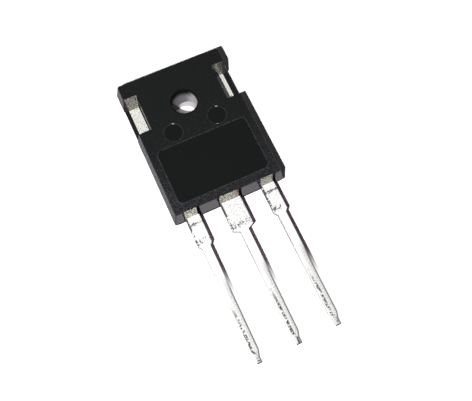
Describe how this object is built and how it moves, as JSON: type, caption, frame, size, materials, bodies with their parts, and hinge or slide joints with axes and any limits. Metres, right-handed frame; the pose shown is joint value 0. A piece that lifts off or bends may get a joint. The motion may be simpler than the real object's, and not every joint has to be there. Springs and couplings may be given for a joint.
{
  "type": "power transistor",
  "caption": "Three-lead power transistor in a flat black moulded package with a screw hole, side windows and a bare heat-sink pad on its back.",
  "frame": {"origin": "centre of the mounting hole in the plane of the heat-sink face", "axes": "+X across the package from the gate lead to the source lead, +Y towards the end with the hole, leads along -Y, +Z from the heat-sink face to the marked face"},
  "size_m": [0.0158, 0.0414, 0.005],
  "materials": {
    "moulding_compound": "satin moulded epoxy with fine filler",
    "tinned_copper": "matt tin plate",
    "silicon": "polished silicon, metallised on top",
    "solder": "reflowed solder",
    "aluminium_wire": "drawn bright"
  },
  "bodies": {
    "root": {"moulded_body": "moulding_compound", "drain_leadframe": "tinned_copper", "gate_lead": "tinned_copper", "source_lead": "tinned_copper", "silicon_die": "silicon", "die_attach_solder": "solder", "source_bond_wire_1": "aluminium_wire", "source_bond_wire_2": "aluminium_wire", "source_bond_wire_3": "aluminium_wire", "gate_bond_wire": "aluminium_wire"}
  },
  "joints": []
}
